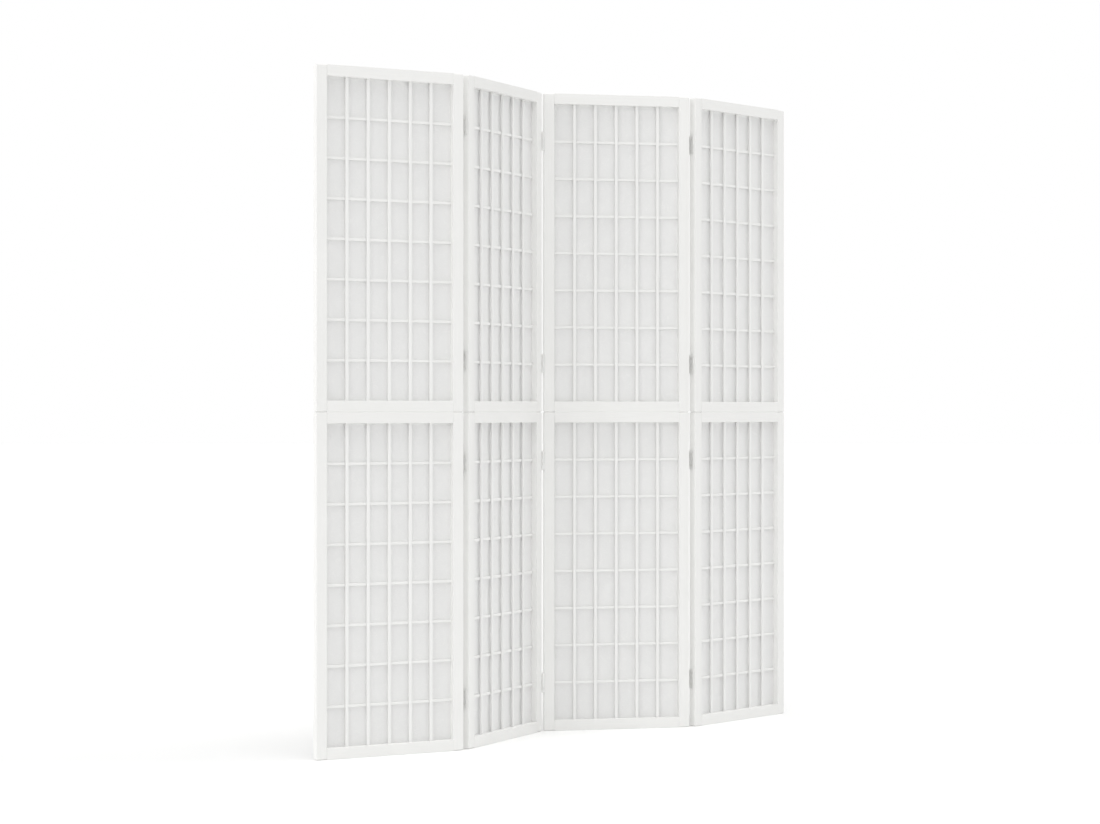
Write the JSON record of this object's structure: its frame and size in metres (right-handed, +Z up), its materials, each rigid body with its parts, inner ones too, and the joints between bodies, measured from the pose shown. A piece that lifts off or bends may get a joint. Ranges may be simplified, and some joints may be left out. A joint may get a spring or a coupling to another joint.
{
  "type": "folding room divider",
  "caption": "Free-standing folding room divider: tall white wooden panels with lattice bars over stretched paper, each made of two stacked half frames and hinged edge to edge in a zigzag.",
  "frame": {"origin": "on the floor, in the middle of the standing screen's box", "axes": "+X along the screen from its left to its right seen from the front, +Y from the front to the back, +Z up"},
  "size_m": [1.558, 0.1938, 1.7],
  "materials": {
    "frame_paint": "satin white paint on softwood",
    "lattice_paint": "satin white paint on thin wood strips",
    "paper": "matt white fibrous paper",
    "dowel_wood": "plain beech",
    "hinge_steel": "zinc plated",
    "screw_steel": "zinc plated",
    "pin_steel": "zinc plated"
  },
  "bodies": {
    "panel_1": {"panel_1_upper_left_stile": "frame_paint", "panel_1_upper_right_stile": "frame_paint", "panel_1_lower_left_stile": "frame_paint", "panel_1_lower_right_stile": "frame_paint", "panel_1_top_rail": "frame_paint", "panel_1_middle_rails": "frame_paint", "panel_1_bottom_rail": "frame_paint", "panel_1_upright_bars": "lattice_paint", "panel_1_cross_bars": "lattice_paint", "panel_1_back_beads": "lattice_paint", "panel_1_paper_sheets": "paper", "panel_1_joining_dowels": "dowel_wood", "panel_1_hinge_leaves": "hinge_steel", "panel_1_hinge_screws": "screw_steel", "panel_1_hinge_pins": "pin_steel"},
    "panel_2": {"panel_2_upper_left_stile": "frame_paint", "panel_2_upper_right_stile": "frame_paint", "panel_2_lower_left_stile": "frame_paint", "panel_2_lower_right_stile": "frame_paint", "panel_2_top_rail": "frame_paint", "panel_2_middle_rails": "frame_paint", "panel_2_bottom_rail": "frame_paint", "panel_2_upright_bars": "lattice_paint", "panel_2_cross_bars": "lattice_paint", "panel_2_back_beads": "lattice_paint", "panel_2_paper_sheets": "paper", "panel_2_joining_dowels": "dowel_wood", "panel_2_hinge_leaves": "hinge_steel", "panel_2_hinge_screws": "screw_steel", "panel_2_hinge_pins": "pin_steel"},
    "panel_3": {"panel_3_upper_left_stile": "frame_paint", "panel_3_upper_right_stile": "frame_paint", "panel_3_lower_left_stile": "frame_paint", "panel_3_lower_right_stile": "frame_paint", "panel_3_top_rail": "frame_paint", "panel_3_middle_rails": "frame_paint", "panel_3_bottom_rail": "frame_paint", "panel_3_upright_bars": "lattice_paint", "panel_3_cross_bars": "lattice_paint", "panel_3_back_beads": "lattice_paint", "panel_3_paper_sheets": "paper", "panel_3_joining_dowels": "dowel_wood", "panel_3_hinge_leaves": "hinge_steel", "panel_3_hinge_screws": "screw_steel", "panel_3_hinge_pins": "pin_steel"},
    "panel_4": {"panel_4_upper_left_stile": "frame_paint", "panel_4_upper_right_stile": "frame_paint", "panel_4_lower_left_stile": "frame_paint", "panel_4_lower_right_stile": "frame_paint", "panel_4_top_rail": "frame_paint", "panel_4_middle_rails": "frame_paint", "panel_4_bottom_rail": "frame_paint", "panel_4_upright_bars": "lattice_paint", "panel_4_cross_bars": "lattice_paint", "panel_4_back_beads": "lattice_paint", "panel_4_paper_sheets": "paper", "panel_4_joining_dowels": "dowel_wood", "panel_4_hinge_leaves": "hinge_steel", "panel_4_hinge_screws": "screw_steel"}
  },
  "joints": [
    {"name": "left_fold", "type": "hinge", "parent": "panel_2", "child": "panel_1", "pos_m": [-0.37775, -0.07043, 0.85], "axis": [0, 0, -1], "range_deg": [-34.4, 145.6]},
    {"name": "middle_fold", "type": "hinge", "parent": "panel_2", "child": "panel_3", "pos_m": [0.0012, 0.07759, 0.85], "axis": [0, 0, -1], "range_deg": [-50.7, 129.3]},
    {"name": "right_fold", "type": "hinge", "parent": "panel_3", "child": "panel_4", "pos_m": [0.37831, -0.07505, 0.85], "axis": [0, 0, 1], "range_deg": [-35.8, 144.2]}
  ]
}
